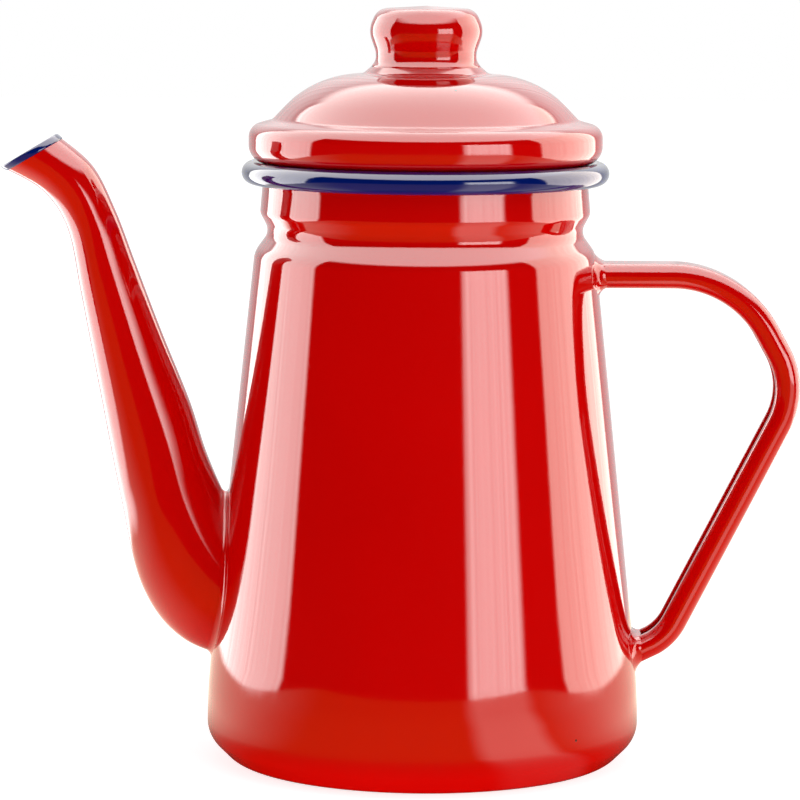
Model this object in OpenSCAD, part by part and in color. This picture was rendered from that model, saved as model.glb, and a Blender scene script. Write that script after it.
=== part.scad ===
// Enamelled steel coffee pot: tapered body, gooseneck spout, rolled strap handle and a
// lift-off lid. The pot axis is Z, the spout points along -X and the handle along +X.
// Z = 0 is the plane that the foot rests on.

/* [Body] */
// Widest diameter of the body, just above the base
base_d = 120; // [100:1:144]
// Height of the top of the rim above the resting plane
body_h = 166.6; // [139:0.2:200]
// Outer diameter of the neck under the rim
neck_d = 90; // [74:1:96]
// Height of the neck, from the shoulder up to the top of the rim
neck_h = 25; // [23:0.5:32]
// How far the shoulder stands out from the neck
shoulder_out = 2.1; // [1.5:0.1:6]
// Depth of the groove between shoulder and neck
groove_depth = 2.1; // [0.5:0.1:3]
// How far the lower neck swells above the groove
neck_swell = 0.6; // [0:0.1:1.5]
// Thickness of the enamelled sheet of the body
wall_t = 1.0; // [0.7:0.05:1.4]

/* [Base] */
// Height of the base pan, from the resting plane to the seam
seam_h = 21; // [18:0.5:26]
// How far the edge of the flat foot lies inside the widest part of the body
foot_inset = 10; // [7:0.5:18]
// Width of the flat ring that the pot rests on
foot_w = 5; // [3:0.5:9]
// How far the middle of the bottom is pressed up
bottom_rise = 2.5; // [1:0.25:4]

/* [Rim] */
// How far the rolled rim stands out from the neck
rim_out = 5.7; // [4.5:0.1:8]
// Diameter of the roll itself
rim_roll_d = 6.2; // [4:0.1:6.4]
// Sheet thickness of the roll
rim_t = 1.0; // [0.7:0.05:1.4]

/* [Lid] */
// How far the swollen edge of the lid lies inside the edge of the rim
lid_inset = 1.9; // [0:0.1:3]
// Height of the swollen edge of the lid
lid_edge_h = 12; // [11:0.1:15]
// Radius that the lid's edge curls under with
lid_curl_r = 5; // [3:0.1:6]
// Height of the lid's dome, from the rim to the seat of the knob
dome_h = 26; // [21:0.2:32]
// Thickness of the lid sheet
lid_t = 1.0; // [0.7:0.05:1.4]
// Gap between the resting lid and the rim
lid_gap = 0.3; // [0.2:0.05:0.8]
// Depth that the collar reaches into the neck
collar_h = 13; // [8:0.5:14]
// Radial play of the collar in the neck
collar_play = 0.8; // [0.4:0.1:2]
// Diameter of the knob
knob_d = 31.2; // [26:0.2:38]
// Height of the knob above its seat
knob_h = 17; // [14:0.2:22]
// Diameter of the raised seat that the knob is welded to
knob_seat_d = 28.4; // [22:0.2:32]
// Firing vent in the seat, under the hollow knob
vent_d = 3; // [2:0.5:5]

/* [Spout] */
// Reach of the pouring lip beyond the widest part of the body
spout_reach = 57; // [48:1:68]
// Height of the highest point of the mouth above the rim
spout_over_rim = 7; // [2:0.5:16]
// Width of the spout where it joins the body
spout_root_w = 31; // [26:0.5:37]
// Width of the mouth across the pot
spout_mouth_w = 17; // [14:0.5:20]
// Thickness of the spout sheet
spout_t = 1.0; // [0.7:0.05:1.4]
// Length of the coloured edge around the mouth
lip_w = 2.2; // [1.5:0.1:4]
// How far the coloured edge stands proud of the spout
lip_proud = 0.3; // [0.1:0.05:0.6]
// Width of the weld bead around the root
root_weld_w = 2.0; // [1:0.25:3]
// Height of the weld bead off the body
root_weld_t = 1.2; // [0.8:0.1:2]

/* [Strainer] */
// Diameter of each strainer hole
strainer_hole_d = 4; // [3:0.25:5]
// Distance between strainer holes
strainer_pitch = 7.5; // [6.5:0.25:9]

/* [Handle] */
// Reach of the handle's outer edge beyond the widest part of the body
handle_reach = 42; // [36:1:52]
// Distance from the shoulder down to the middle of the upper leg
handle_drop = 6.0; // [5:0.2:20]
// Height of the middle of the lower end above the resting plane
handle_foot_z = 30.4; // [25:0.2:40]
// Width of the strap across the pot
strap_w = 16; // [13:0.5:20]
// Depth of the strap, from its back to its rolled edges
strap_d = 6.8; // [6.4:0.2:9.4]
// Thickness of the strap sheet
strap_t = 1.1; // [0.8:0.05:1.5]
// Width of the open slot along the inner side of the strap
slot_w = 7; // [5:0.5:9]
// Width of the weld pads at both ends of the strap
pad_w = 1.8; // [1:0.2:3]
// Thickness of the weld pads
pad_t = 1.2; // [0.8:0.1:2]

/* [Hidden] */
$fn = 96;
cut = 0.5;              // how far a cutting tool runs past the face it cuts
arc_step = 6;           // largest angle of one facet along a rounded outline
strap_arc_step = 22.5;  // the same for the section of the strap
strap_round = min(3.4, strap_d / 2 - 0.1);     // corner radius of the strap's section
groove_rise = 5.7;      // from the shoulder up to the groove
swell_rise = 5.1;       // from the groove up to the swell of the neck
lip_flat = 0.5;         // flat part of the lid's curled edge, where it meets the collar
hole_clear_z = 8;       // wall left whole above and below the strainer holes
hole_clear_y = 6;       // the same on both sides of them
red = [0.72, 0.02, 0.02];
blue = [0.02, 0.06, 0.38];
white = [0.93, 0.93, 0.90];

base_r = base_d / 2;
neck_r = neck_d / 2;
foot_r = base_r - foot_inset;
rim_r = neck_r + rim_out;
roll_r = rim_roll_d / 2;
roll_z = body_h - roll_r;
shoulder_z = body_h - neck_h;
shoulder_r = neck_r + shoulder_out;
groove_z = shoulder_z + groove_rise;
swell_z = groove_z + swell_rise;
seat_z = body_h + dome_h;
seat_r = knob_seat_d / 2;
lid_r = rim_r - lid_inset;
// The curled edge rests on the roll of the rim, one round edge on another
curl_in = max(0, rim_r - roll_r - lid_r + lid_curl_r);
curl_up = sqrt(pow(lid_curl_r + roll_r + lid_gap, 2) - pow(curl_in, 2));
lid_z = roll_z + curl_up - lid_curl_r;
edge_top_z = lid_z + lid_edge_h;
collar_r = neck_r - wall_t - collar_play;
lid_lip_r = max(lid_r - lid_curl_r - lip_flat, collar_r);
knob_r = knob_d / 2;

// ---- outlines -------------------------------------------------------------------------

// Unit vector from a to b
function unit(a, b) = (b - a) / norm(b - a);

// Points of the arc that rounds corner b, between a and c, to radius r
function corner(a, b, c, r, step) =
  let (u = unit(b, a), v = unit(b, c), half = acos(max(-1, min(1, u * v))) / 2)
  r == 0 || half > 89.9 ? [b] :
  let (
    reach = r / tan(half),
    centre = b + (u + v) / norm(u + v) * r / sin(half),
    p = b + u * reach - centre,
    q = b + v * reach - centre,
    start = atan2(p[1], p[0]),
    turn = (atan2(q[1], q[0]) - start + 540) % 360 - 180,
    n = ceil(abs(turn) / step - 0.01)
  )
  [for (i = [0:n]) centre + r * [cos(start + turn * i / n), sin(start + turn * i / n)]];

// Outline through [x, y] points; a third number rounds that corner to this radius
function rounded(p, step = arc_step) = [
  for (i = [0:len(p) - 1])
    let (here = [p[i][0], p[i][1]], r = p[i][2] == undef ? 0 : p[i][2])
    each i == 0 || i == len(p) - 1 ? [here] :
      corner([p[i - 1][0], p[i - 1][1]], here, [p[i + 1][0], p[i + 1][1]], r, step)
];

// Right-hand side of a profile, so that nothing crosses the axis
module right_half() {
  intersection() {
    children();
    translate([0, -500]) square([500, 1000]);
  }
}

// Slice of a profile between two heights
module between(low, high) {
  intersection() {
    children();
    translate([-500, low]) square([1000, high - low]);
  }
}

// ---- body -----------------------------------------------------------------------------

function body_outline() = rounded([
  [-5, bottom_rise],
  [foot_r - foot_w - 2, bottom_rise, 2],
  [foot_r - foot_w, 0, 1.5],
  [foot_r + 2.9, 0, 6.5],
  [base_r + 0.1, 7.2, 8.5],
  [base_r - 0.1, seam_h, 40],
  [shoulder_r, shoulder_z, 7],
  [neck_r - groove_depth, groove_z, 4],
  [neck_r + neck_swell, swell_z, 3],
  [neck_r, roll_z - roll_r - 1, 4],
  [neck_r, roll_z, 1.2],
  [rim_r - roll_r, roll_z],
  [rim_r - roll_r, body_h + 20],
  [-5, body_h + 20]
]);

// Everything inside the outer surface of the body
module body_profile() { right_half() polygon(body_outline()); }

// The body grown by a distance, for beads and pads that lie on it
module grown_body(d) {
  rotate_extrude() right_half() offset(delta = d) polygon(body_outline());
}

module roll_section() { translate([rim_r - roll_r, roll_z]) circle(r = roll_r); }

// Cross-section of the whole body sheet, open at the top
module body_sheet() {
  right_half() difference() {
    polygon(body_outline());
    offset(delta = -wall_t) polygon(body_outline());
    roll_section();
    translate([rim_r - roll_r, roll_z - cut]) square([50, 50]);
  }
}

// Field of holes through the wall, clear of the root of the spout on all sides
module strainer_holes() {
  low_z = section(0.5)[0][1];
  high_z = section(1.5)[1][1];
  middle_z = (low_z + high_z) / 2;
  half_h = (high_z - low_z) / 2 - hole_clear_z;
  half_w = spout_root_w / 2 - hole_clear_y;
  rows = floor(half_h / (strainer_pitch * sin(60)));
  columns = ceil(half_w / strainer_pitch);
  for (row = [-rows:rows], column = [-columns:columns]) {
    y = (column + (row % 2 == 0 ? 0 : 0.5)) * strainer_pitch;
    z = row * strainer_pitch * sin(60);
    if (pow(y / half_w, 2) + pow(z / half_h, 2) < 1)
      translate([-base_r - cut, y, middle_z + z])
        rotate([0, 90, 0]) cylinder(d = strainer_hole_d, h = base_r / 2, $fn = 24);
  }
}

module body_wall() {
  color(red) difference() {
    rotate_extrude() between(seam_h, roll_z) body_sheet();
    strainer_holes();
  }
}

module base_pan() {
  color(red) rotate_extrude() between(0, seam_h) body_sheet();
}

module rim_roll() {
  color(blue) rotate_extrude() difference() {
    roll_section();
    translate([rim_r - roll_r, roll_z]) circle(r = roll_r - rim_t);
  }
}

// ---- spout ----------------------------------------------------------------------------

mouth_z = body_h + spout_over_rim;

// The spout is lofted between its front edge and its back edge. Each station gives the
// place of both edges, as a share of the reach and of the height, and the half width as
// a share of the way from the mouth's half width to the root's.
spout_stations = [
  // front out, front up, back out, back up, root share
  [-0.22, 0.15, -0.30, 0.31, 1.00],
  [0.12, 0.19, -0.12, 0.40, 1.00],
  [0.32, 0.275, 0, 0.485, 0.84],
  [0.425, 0.42, 0.09, 0.575, 0.50],
  [0.525, 0.59, 0.225, 0.685, 0.22],
  [0.615, 0.745, 0.352, 0.795, 0.02],
  [0.68, 0.85, 0.45, 0.88, -0.08],
  [0.80, 0.91, 0.56, 0.95, -0.06],
  [1.00, 0.948, 0.735, 1.00, 0.00]
];
spout_steps = 5;        // rings from one station to the next
half_facets = 14;       // facets around one half of the section

last_station = len(spout_stations) - 1;

// Row i of the stations, carried on in a straight line past both ends
function station(i) =
  i < 0 ? 2 * spout_stations[0] - spout_stations[1] :
  i > last_station ? 2 * spout_stations[last_station] - spout_stations[last_station - 1] :
  spout_stations[i];

// Smooth values between the stations at place u
function along(u) =
  let (i = min(floor(u), last_station - 1), t = u - i,
    a = station(i - 1), b = station(i), c = station(i + 1), d = station(i + 2))
  b + 0.5 * t * (c - a + t * (2 * a - 5 * b + 4 * c - d + t * (3 * (b - c) + d - a)));

function place(out, up) = [-base_r - out * spout_reach, up * mouth_z];

// Front edge, back edge and half width of the section at place u
function section(u) =
  let (s = along(u), mouth = spout_mouth_w / 2, root = spout_root_w / 2)
  [place(s[0], s[1]), place(s[2], s[3]), mouth + s[4] * (root - mouth)];

// Point on the section at place u, turned by angle a from the front edge and grown by g
function skin(u, a, g) =
  let (s = section(u), centre = (s[0] + s[1]) / 2, half = (s[0] - s[1]) / 2,
    depth = half * (1 + g / norm(half)), p = centre + depth * cos(a))
  [p[0], (s[2] + g) * sin(a), p[1]];

// Triangles of a tube of loops, each with n points, closed by flat quads between the
// outer points and the inner points of the first and the last loop
function tube_faces(rings, n) = let (m = n / 2) concat(
  [for (r = [0:rings - 2], i = [0:n - 1]) let (a = r * n + i, b = r * n + (i + 1) % n)
    each [[a, b, b + n], [a, b + n, a + n]]],
  [for (i = [0:m - 2]) let (o = i, q = n - 1 - i)
    each [[o, q - 1, o + 1], [o, q, q - 1]]],
  [for (i = [0:m - 2]) let (e = (rings - 1) * n, o = e + i, q = e + n - 1 - i)
    each [[o, o + 1, q - 1], [o, q - 1, q]]]
);

// Part of the spout sheet from place u0 to u1, as a half shell from angle 0 to 180
module half_spout(u0, u1, rings, outer, inner) {
  points = [for (r = [0:rings - 1]) let (u = u0 + (u1 - u0) * r / (rings - 1)) each concat(
    [for (i = [0:half_facets]) skin(u, 180 * i / half_facets, outer)],
    [for (i = [half_facets:-1:0]) skin(u, 180 * i / half_facets, inner)]
  )];
  polyhedron(points, tube_faces(rings, 2 * (half_facets + 1)), convexity = 8);
}

// Solid core of the spout, grown by g, from place u0 to u1. Its facets are mirrored across
// the pot like those of the two halves, so that both meet exactly.
module spout_core(u0, u1, rings, g) {
  n = 2 * half_facets;
  points = [for (r = [0:rings - 1]) let (u = u0 + (u1 - u0) * r / (rings - 1))
    for (i = [0:n - 1]) skin(u, 360 * i / n, g)];
  faces = concat(
    [for (r = [0:rings - 2], i = [0:n - 1]) let (a = r * n + i, b = r * n + (i + 1) % n)
      each i < half_facets ? [[a, b, b + n], [a, b + n, a + n]] : [[a, b, a + n], [b, b + n, a + n]]],
    [[for (i = [n - 1:-1:0]) i]],
    [[for (i = [0:n - 1]) (rings - 1) * n + i]]
  );
  polyhedron(points, faces, convexity = 8);
}

// Place where the coloured edge starts: its width back from the mouth
lip_u = last_station - lip_w / norm(section(last_station)[1] - section(last_station - 1)[1]);
spout_rings = last_station * spout_steps + 1;
root_rings = floor(spout_rings / 2);   // enough of them to pass through the weld at the root

module spout_half() {
  color(red) difference() {
    half_spout(0, lip_u, spout_rings, 0, -spout_t);
    rotate_extrude() body_profile();
  }
}

module spout_right_half() { spout_half(); }
module spout_left_half() { mirror([0, 1, 0]) spout_half(); }

module spout_lip() {
  color(blue) difference() {
    spout_core(lip_u, last_station, 4, lip_proud);
    spout_core(lip_u - cut / 10, last_station + cut / 10, 5, -spout_t);
  }
}

module spout_root_weld() {
  color(red) difference() {
    intersection() {
      spout_core(0, 3, 16, root_weld_w);
      grown_body(root_weld_t);
    }
    rotate_extrude() body_profile();
    spout_core(0, lip_u * root_rings / (spout_rings - 1), root_rings + 1, 0);
  }
}

// ---- handle ---------------------------------------------------------------------------

handle_top_z = shoulder_z - handle_drop;
handle_x = base_r + handle_reach - strap_d / 2;

// Corners of the middle line of the strap, from the upper leg to the lower end
handle_line = [
  [neck_r, handle_top_z, 0],
  [handle_x - 12.5, handle_top_z, 30],
  [handle_x + 4.6, handle_top_z - 31, 21],
  [base_r + 7.6, handle_foot_z + 4.4, 15],
  [base_r - 8, handle_foot_z - 3, 0]
];

// Half outline of the strap's section, grown by g: x runs away from the hand, y across
// the pot. It goes from one edge of the slot round the back to the other edge.
function strap_outline(g = 0, slot = slot_w / 2) =
  let (x = strap_d / 2 + g, y = strap_w / 2 + g, r = strap_round + g)
  rounded([[-x, slot], [-x, y, r], [x, y, r], [x, -y, r], [-x, -y, r], [-x, -slot]], strap_arc_step);

function corner_at(i) = [handle_line[i][0], handle_line[i][1]];
function heading(i) = unit(corner_at(i), corner_at(i + 1));

// Middle line of the handle with its corners rounded, and the way it runs at point i
handle_path = rounded(handle_line);
function handle_heading(i) =
  i == 0 ? heading(0) :
  i == len(handle_path) - 1 ? heading(len(handle_line) - 2) :
  unit([0, 0], unit(handle_path[i - 1], handle_path[i]) + unit(handle_path[i], handle_path[i + 1]));

// Point q of a flat section, carried to point i of the middle line
function on_handle(i, q) =
  let (p = handle_path[i], h = handle_heading(i))
  [p[0] - q[0] * h[1], q[1], p[1] + q[0] * h[0]];

module handle_strap() {
  outer = strap_outline();
  inner = strap_outline(-strap_t);
  n = len(outer);
  points = [for (i = [0:len(handle_path) - 1]) each concat(
    [for (q = outer) on_handle(i, q)],
    [for (k = [n - 1:-1:0]) on_handle(i, inner[k])]
  )];
  color(red) difference() {
    polyhedron(points, tube_faces(len(handle_path), 2 * n), convexity = 8);
    rotate_extrude() body_profile();
  }
}

// Straight bar along leg i of the handle, grown by g
module leg_bar(i, g) {
  h = heading(i);
  long = norm(corner_at(i + 1) - corner_at(i));
  translate([corner_at(i)[0], 0, corner_at(i)[1]])
    rotate([0, 90 - atan2(h[1], h[0]), 0])
      linear_extrude(long) rotate(180) polygon(strap_outline(g, 0));
}

module weld_pad(i) {
  color(red) difference() {
    intersection() {
      leg_bar(i, pad_w);
      grown_body(pad_t);
    }
    rotate_extrude() body_profile();
    leg_bar(i, 0);
  }
}

module handle_top_weld() { weld_pad(0); }
module handle_foot_weld() { weld_pad(len(handle_line) - 2); }

// ---- lid ------------------------------------------------------------------------------

module lid_profile() {
  polygon(rounded([
    [-5, seat_z],
    [seat_r, seat_z, 0.4],
    [seat_r + 0.7, seat_z - 2.4, 1.2],
    [(seat_r + lid_r) / 2 - 0.8, seat_z - 2.1, 31],
    [lid_r - 6.5, edge_top_z, 2.5],
    [lid_r, edge_top_z - 1.8, 4],
    [lid_r, lid_z, lid_curl_r],
    [-5, lid_z]
  ]));
}

module lid_dome() {
  color(red) rotate_extrude() difference() {
    right_half() difference() {
      lid_profile();
      offset(delta = -lid_t) lid_profile();
    }
    translate([-cut, lid_z - cut]) square([lid_lip_r + cut, lid_t + 2 * cut]);
    translate([-cut, seat_z - 2 * lid_t]) square([vent_d / 2 + cut, 3 * lid_t]);
  }
}

module lid_collar() {
  color(white) rotate_extrude() {
    translate([collar_r - lid_t, lid_z]) square([lid_lip_r - collar_r + lid_t, lid_t]);
    translate([collar_r - lid_t, body_h - collar_h])
      square([lid_t, lid_z + lid_t - body_h + collar_h]);
  }
}

module knob_profile() {
  polygon(rounded([
    [-5, seat_z - 5],
    [seat_r + 0.5, seat_z - 5],
    [seat_r + 0.3, seat_z, 0.5],
    [seat_r - 0.3, seat_z + 0.16 * knob_h, 3],
    [knob_r, seat_z + 0.52 * knob_h, 4],
    [knob_r, seat_z + 0.67 * knob_h, 3],
    [knob_r - 3.4, seat_z + 0.93 * knob_h, 3],
    [-5, seat_z + knob_h]
  ]));
}

module lid_knob() {
  color(red) rotate_extrude() between(seat_z, seat_z + 2 * knob_h) right_half()
    difference() {
      knob_profile();
      offset(delta = -lid_t) knob_profile();
    }
}

body_wall();
base_pan();
rim_roll();
spout_left_half();
spout_right_half();
spout_lip();
spout_root_weld();
handle_strap();
handle_top_weld();
handle_foot_weld();
lid_dome();
lid_collar();
lid_knob();
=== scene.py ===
# Looks of an enamelled steel coffee pot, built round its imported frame.
# Metres, Z up, spout along -X, handle along +X, pot standing on Z = 0.
import math

import bmesh
import bpy
from mathutils import Matrix, Vector


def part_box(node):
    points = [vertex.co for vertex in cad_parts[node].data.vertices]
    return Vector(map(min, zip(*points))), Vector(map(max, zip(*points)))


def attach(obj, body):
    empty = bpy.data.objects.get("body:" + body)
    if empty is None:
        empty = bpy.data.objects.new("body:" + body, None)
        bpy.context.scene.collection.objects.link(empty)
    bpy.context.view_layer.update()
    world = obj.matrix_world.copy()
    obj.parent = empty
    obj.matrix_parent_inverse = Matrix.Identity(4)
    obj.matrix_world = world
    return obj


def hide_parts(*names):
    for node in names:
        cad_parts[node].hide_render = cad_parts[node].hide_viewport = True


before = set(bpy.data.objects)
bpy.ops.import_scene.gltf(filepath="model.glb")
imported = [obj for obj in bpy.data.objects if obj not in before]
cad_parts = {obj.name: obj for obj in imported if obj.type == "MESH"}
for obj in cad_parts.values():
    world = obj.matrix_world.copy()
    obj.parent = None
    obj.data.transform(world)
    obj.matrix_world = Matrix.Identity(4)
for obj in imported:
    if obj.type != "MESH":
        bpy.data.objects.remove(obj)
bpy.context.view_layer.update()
mm = 0.001
scene = bpy.context.scene
scene.view_settings.view_transform = "Standard"

# Camera
cameraSetup = {
    "distance": 1.1405,     # in front of the pot's axis
    "height": 0.2358,
    "lens": 186.2,          # mm, on a 36 mm sensor
    "tiltDown": 6.778,      # degrees
    "turnLeft": 0.336,
    "lean": 0.3,
}


def makeCamera(s):
    data = bpy.data.cameras.new("camera")
    data.lens, data.sensor_width = s["lens"], 36
    data.clip_start, data.clip_end = 0.05, 30
    camera = bpy.data.objects.new("camera", data)
    scene.collection.objects.link(camera)
    turn = Matrix.Rotation(math.radians(s["turnLeft"]), 4, "Z")
    tilt = Matrix.Rotation(math.radians(90 - s["tiltDown"]), 4, "X")
    lean = Matrix.Rotation(math.radians(s["lean"]), 4, "Z")
    place = Matrix.Translation((0, -s["distance"], s["height"]))
    camera.matrix_world = place @ turn @ tilt @ lean
    scene.camera = camera


makeCamera(cameraSetup)
print("camera placed")


# Helpers that add nodes
def addNode(tree, kind, values=None, **settings):
    node = tree.nodes.new(kind)
    for key, value in settings.items():
        setattr(node, key, value)
    for key, value in (values or {}).items():
        if isinstance(value, bpy.types.NodeSocket):
            tree.links.new(value, node.inputs[key])
        else:
            node.inputs[key].default_value = value
    return node


def mathNode(tree, operation, *values):
    node = addNode(tree, "ShaderNodeMath", dict(enumerate(values)), operation=operation)
    return node.outputs[0]


# Place of each point, split into its three parts
def pointPlace(tree):
    position = tree.nodes.new("GeometryNodeInputPosition").outputs[0]
    return addNode(tree, "ShaderNodeSeparateXYZ", {0: position})


def addInputs(tree, kinds):
    for name, kind in kinds:
        tree.interface.new_socket(name, in_out="INPUT", socket_type="NodeSocket" + kind)
    return tree.nodes.new("NodeGroupInput").outputs


# Fired enamel: pooled colour, fine orange peel, slow waves and a few pinholes
def enamelSkinGroup():
    group = bpy.data.node_groups.new("enamelSkin", "ShaderNodeTree")
    given = addInputs(group, [
        ("Place", "Vector"), ("Colour", "Color"), ("Thick colour", "Color"),
        ("Gloss", "Float"), ("Peel height", "Float"), ("Wave height", "Float"), ("Pinholes", "Float"),
    ])
    for name, kind in [("Colour", "Color"), ("Roughness", "Float"), ("Height", "Float")]:
        group.interface.new_socket(name, in_out="OUTPUT", socket_type="NodeSocket" + kind)
    place = given["Place"]
    clouds = addNode(group, "ShaderNodeTexNoise", {"Vector": place, "Scale": 26, "Detail": 3})
    waves = addNode(group, "ShaderNodeTexNoise", {"Vector": place, "Scale": 38, "Detail": 1})
    peel = addNode(group, "ShaderNodeTexNoise", {"Vector": place, "Scale": 420, "Detail": 2})
    dots = addNode(group, "ShaderNodeTexVoronoi", {"Vector": place, "Scale": 120})
    # a pinhole is a small spot round some of the cell centres
    chosen = mathNode(group, "GREATER_THAN", addNode(
        group, "ShaderNodeSeparateColor", {"Color": dots.outputs["Color"]}).outputs[0], 0.93)
    spot = mathNode(group, "LESS_THAN", dots.outputs["Distance"], 0.045)
    hole = mathNode(group, "MULTIPLY", mathNode(group, "MULTIPLY", chosen, spot), given["Pinholes"])
    pooled = addNode(group, "ShaderNodeMapRange", {
        "Value": clouds.outputs[0], "From Min": 0.35, "From Max": 0.7, "To Min": 0, "To Max": 0.35})
    tint = addNode(group, "ShaderNodeMix", {0: pooled.outputs[0], 6: given["Colour"],
                                            7: given["Thick colour"]}, data_type="RGBA")
    pitted = addNode(group, "ShaderNodeMix", {0: hole, 6: tint.outputs[2], 7: (0.01, 0.004, 0.004, 1)},
                     data_type="RGBA")
    rough = addNode(group, "ShaderNodeMapRange", {
        "Value": peel.outputs[0], "From Min": 0.3, "From Max": 0.7,
        "To Min": given["Gloss"], "To Max": mathNode(group, "MULTIPLY", given["Gloss"], 1.5)})
    slow = mathNode(group, "MULTIPLY", waves.outputs[0], given["Wave height"])
    fine = mathNode(group, "MULTIPLY", peel.outputs[0], given["Peel height"])
    sunk = mathNode(group, "MULTIPLY", hole, -20e-6)
    height = mathNode(group, "ADD", mathNode(group, "ADD", slow, fine), sunk)
    out = group.nodes.new("NodeGroupOutput")
    group.links.new(pitted.outputs[2], out.inputs["Colour"])
    group.links.new(rough.outputs[0], out.inputs["Roughness"])
    group.links.new(height, out.inputs["Height"])
    return group


enamelSkin = enamelSkinGroup()


def enamel(name, s):
    material = bpy.data.materials.new(name)
    material.use_nodes = True
    tree = material.node_tree
    shader = tree.nodes["Principled BSDF"]
    place = tree.nodes.new("ShaderNodeTexCoord").outputs["Object"]
    skin = addNode(tree, "ShaderNodeGroup", node_tree=enamelSkin)
    values = {
        "Colour": (*s["colour"], 1), "Thick colour": (*s["thick"], 1), "Gloss": s["gloss"],
        "Peel height": s["peel"] * mm, "Wave height": s["wave"] * mm, "Pinholes": s["pinholes"],
    }
    for key, value in values.items():
        skin.inputs[key].default_value = value
    tree.links.new(place, skin.inputs["Place"])
    colour = skin.outputs["Colour"]
    if "foot" in s:         # painted contact shade: a dark band with a ragged edge at the very bottom, where the pot stands
        high = addNode(tree, "ShaderNodeSeparateXYZ", {0: place}).outputs[2]
        footShadeNoise = addNode(tree, "ShaderNodeTexNoise", {"Vector": place, "Scale": 160, "Detail": 4})
        edge = mathNode(tree, "MULTIPLY", footShadeNoise.outputs[0], s["footShadeHigh"] * 2)
        inFootShade = mathNode(tree, "LESS_THAN", high, edge)
        colour = addNode(tree, "ShaderNodeMix", {0: inFootShade, 6: colour, 7: (*s["foot"], 1)},
                         data_type="RGBA").outputs[2]
    bump = addNode(tree, "ShaderNodeBump", {"Height": skin.outputs["Height"], "Distance": 1.0,
                                            "Strength": 1.0})
    tree.links.new(colour, shader.inputs["Base Color"])
    tree.links.new(skin.outputs["Roughness"], shader.inputs["Roughness"])
    tree.links.new(bump.outputs[0], shader.inputs["Normal"])
    shader.inputs["IOR"].default_value = s["ior"]
    return material


redGlaze = {
    "colour": (0.60, 0.0005, 0.0003), "thick": (0.53, 0.0004, 0.0003), "gloss": 0.045,
    "peel": 0.0012, "wave": 0.02, "pinholes": 1, "ior": 1.58,
    # painted contact shade: colour and height of the dark band at the very bottom, where the pot stands
    "foot": (0.05, 0.035, 0.03), "footShadeHigh": 0.25 * mm,
}
blueGlaze = {
    "colour": (0.0, 0.008, 0.12), "thick": (0.0, 0.004, 0.06), "gloss": 0.06,
    "peel": 0.0012, "wave": 0.012, "pinholes": 1, "ior": 1.58,
}
whiteGlaze = {
    "colour": (0.80, 0.80, 0.76), "thick": (0.74, 0.73, 0.68), "gloss": 0.07,
    "peel": 0.0015, "wave": 0.02, "pinholes": 1, "ior": 1.58,
}
redEnamel = enamel("redEnamel", redGlaze)
blueEnamel = enamel("blueEnamel", blueGlaze)
whiteEnamel = enamel("whiteEnamel", whiteGlaze)
print("enamels mixed")


# Line through (a, b) points; a third number rounds that corner to this radius
def roundedLine(points, closed=False, step=4):
    line, count = [], len(points)
    for i, point in enumerate(points):
        here = Vector(point[:2])
        radius = point[2] if len(point) > 2 else 0
        if radius == 0 or (not closed and i in (0, count - 1)):
            line.append(here)
            continue
        u = (Vector(points[i - 1][:2]) - here).normalized()
        v = (Vector(points[(i + 1) % count][:2]) - here).normalized()
        half = math.acos(max(-1, min(1, u.dot(v)))) / 2
        if half > math.radians(89.9):
            line.append(here)
            continue
        reach = radius / math.tan(half)
        centre = here + (u + v).normalized() * radius / math.sin(half)
        p, q = here + u * reach - centre, here + v * reach - centre
        start = math.atan2(p.y, p.x)
        turn = (math.atan2(q.y, q.x) - start + 3 * math.pi) % (2 * math.pi) - math.pi
        parts = max(2, math.ceil(abs(turn) / math.radians(step)))
        for k in range(parts + 1):
            angle = start + turn * k / parts
            line.append(centre + radius * Vector((math.cos(angle), math.sin(angle))))
    return line


# The same line with no stretch longer than this
def evenLine(line, longest):
    out = [line[0]]
    for a, b in zip(line, line[1:]):
        parts = max(1, math.ceil((b - a).length / longest))
        out += [a.lerp(b, k / parts) for k in range(1, parts + 1)]
    return out


# The line moved to its left side by a distance
def beside(line, distance):
    out = []
    for i, here in enumerate(line):
        before = (here - line[i - 1]).normalized() if i > 0 else None
        after = (line[i + 1] - here).normalized() if i < len(line) - 1 else None
        before, after = before or after, after or before
        along = (before + after).normalized()
        stretch = 1 / max(0.5, along.dot(after))
        out.append(here + Vector((-along.y, along.x)) * distance * stretch)
    return out


# Radius of an outline at a height, between two of its heights
def radiusAt(line, z):
    for a, b in zip(line, line[1:]):
        if a.y <= z <= b.y and b.y > a.y:
            return a.x + (b.x - a.x) * (z - a.y) / (b.y - a.y)
    return line[-1].x


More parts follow.
